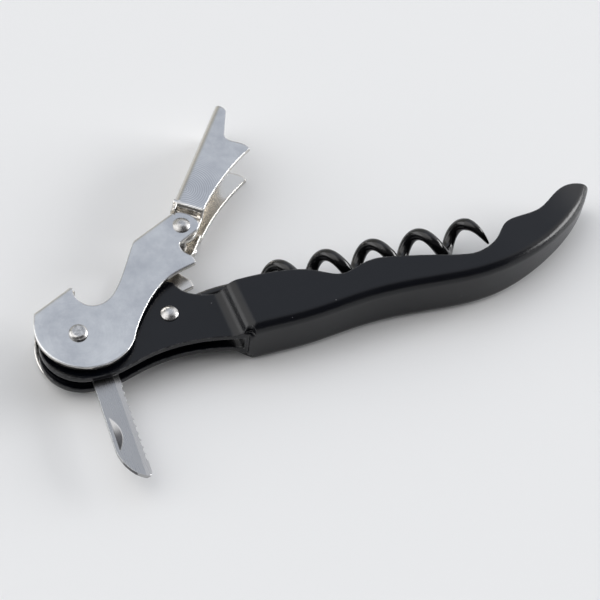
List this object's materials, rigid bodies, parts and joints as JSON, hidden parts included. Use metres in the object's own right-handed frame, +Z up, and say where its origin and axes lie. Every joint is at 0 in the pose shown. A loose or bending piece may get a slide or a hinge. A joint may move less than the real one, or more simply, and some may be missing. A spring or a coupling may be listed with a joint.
{
  "type": "waiter's corkscrew",
  "caption": "Folding waiter's corkscrew: pressed channel handle with a coiled worm, a serrated foil knife and a stepped lever whose claws rest on the bottle's lip, shown opened.",
  "frame": {"origin": "On the flat of the handle's lower side wall, 42.0 mm towards the tail from the main rivet, 4.3 mm to the spine side of it, so the tool lies on its side on the plane Z = 0.", "axes": "+X along the handle from the main rivet to the tail, +Y to the handle's open side, where the lever and the worm are, +Z up, along every rivet."},
  "size_m": [0.1222, 0.0776, 0.0114],
  "materials": {
    "black_paint": "semi-gloss",
    "black_wire_coat": "gloss",
    "bright_plate": "polished",
    "rivet_plate": "polished",
    "blade_steel": "satin",
    "washer_steel": "satin"
  },
  "bodies": {
    "handle": {"handle_shell": "black_paint", "main_rivet": "rivet_plate", "worm_rivet": "rivet_plate", "knife_washers": "washer_steel", "lever_washers": "washer_steel"},
    "first_stage": {"first_lever_stage": "bright_plate", "hinge_rivet": "rivet_plate"},
    "second_stage": {"second_lever_stage": "bright_plate"},
    "worm_body": {"worm": "black_wire_coat"},
    "knife": {"knife_blade": "blade_steel"}
  },
  "joints": [
    {"name": "lever_pivot", "type": "hinge", "parent": "handle", "child": "first_stage", "pos_m": [-0.042, 0.0043, 0.0057], "axis": [0, 0, 1], "range_deg": [-6, 95]},
    {"name": "step_hinge", "type": "hinge", "parent": "first_stage", "child": "second_stage", "pos_m": [-0.01388, 0.02256, 0.0057], "axis": [0, 0, 1], "range_deg": [-66, 8]},
    {"name": "worm_pivot", "type": "hinge", "parent": "handle", "child": "worm_body", "pos_m": [-0.0232, 0.0043, 0.0057], "axis": [0, 0, 1], "range_deg": [-5.1, 80.75]},
    {"name": "knife_pivot", "type": "hinge", "parent": "handle", "child": "knife", "pos_m": [-0.042, 0.0043, 0.0057], "axis": [0, 0, 1], "range_deg": [-30, 60]}
  ],
  "couplings": [
    {"joint": "worm_pivot", "follows": "lever_pivot", "ratio": 0.85}
  ]
}
